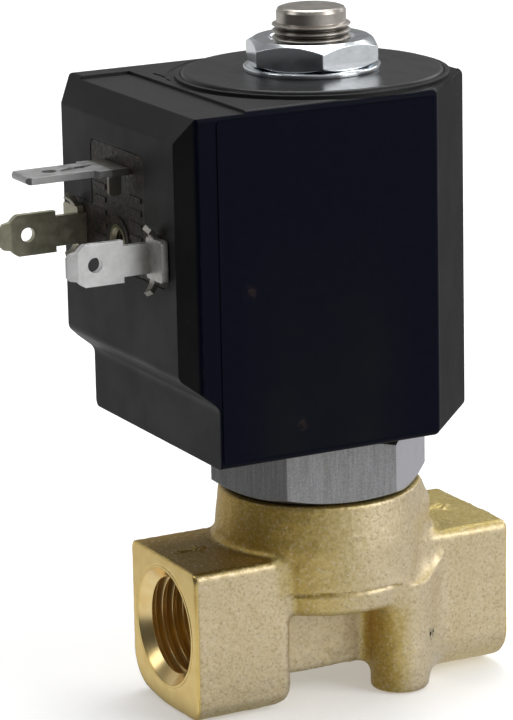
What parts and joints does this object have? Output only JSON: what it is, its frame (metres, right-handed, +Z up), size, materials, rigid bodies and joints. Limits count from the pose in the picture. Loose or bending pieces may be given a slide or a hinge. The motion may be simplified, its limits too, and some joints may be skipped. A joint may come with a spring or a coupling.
{
  "type": "solenoid valve",
  "caption": "Direct-acting solenoid valve: forged brass body with two threaded ports, moulded coil with blade connector and hexagon nut.",
  "frame": {"origin": "centre of the two foot screws on the foot plane, on the plunger axis, 9.6 mm below the port axis", "axes": "+X along the flow axis, away from the electrical connector; +Z up along the plunger, towards the coil nut; +Y completes the right-handed set"},
  "size_m": [0.0577, 0.0331, 0.0805],
  "materials": {
    "brass_body": "blasted forging with machined port faces",
    "hex_steel": "fine speckled nickel-plated",
    "stainless": "turned",
    "stainless_core": "turned, warm grey",
    "copper": null,
    "black_rubber": "matt",
    "coil_black": "fine moulded texture",
    "cover_black": "gloss",
    "bobbin_plastic": "natural glass-filled",
    "yoke_steel": "phosphated steel",
    "carrier_plastic": "dark brown glass-filled, rough",
    "nickel_insert": "nickel-plated brass",
    "tin_plate": "tinned",
    "label_film": "blank dark blue-black film",
    "zinc_plate": "bright zinc plate"
  },
  "bodies": {
    "valve": {"valve_body": "brass_body", "tube_base": "hex_steel", "guide_tube": "stainless", "tube_o_ring": "black_rubber", "fixed_core": "stainless_core", "shading_ring": "copper", "coil_seal": "black_rubber"},
    "armature": {"plunger": "stainless", "seal_disc": "black_rubber", "plunger_spring": "stainless"},
    "coil": {"coil_housing": "coil_black", "coil_top_cover": "cover_black", "bobbin": "bobbin_plastic", "coil_winding": "copper", "yoke_frame": "yoke_steel", "lower_flux_sleeve": "yoke_steel", "upper_flux_sleeve": "yoke_steel", "terminal_carrier": "carrier_plastic", "connector_insert": "nickel_insert", "power_terminal_1": "tin_plate", "power_terminal_2": "tin_plate", "ground_terminal": "tin_plate", "winding_leads": "copper", "name_plate": "label_film"},
    "nut_washer": {"coil_washer": "zinc_plate"},
    "nut": {"coil_nut": "zinc_plate"}
  },
  "joints": [
    {"name": "plunger_lift", "type": "slide", "parent": "valve", "child": "armature", "axis": [0, 0, 1], "range_m": [0, 0.00175], "stiffness_N_per_m": 150, "springref_m": -0.01, "deforming": ["plunger_spring"]},
    {"name": "coil_swivel", "type": "hinge", "parent": "valve", "child": "coil", "pos_m": [0, 0, 0], "axis": [0, 0, 1], "continuous": true},
    {"name": "nut_lift", "type": "slide", "parent": "valve", "child": "nut_washer", "axis": [0, 0, 1], "range_m": [0, 0.00451]},
    {"name": "nut_turn", "type": "hinge", "parent": "nut_washer", "child": "nut", "pos_m": [0, 0, 0.0756], "axis": [0, 0, 1], "range_deg": [0, 2160]}
  ],
  "couplings": [
    {"joint": "nut_lift", "follows": "nut_turn", "m_per_rad": 0.00011937}
  ]
}
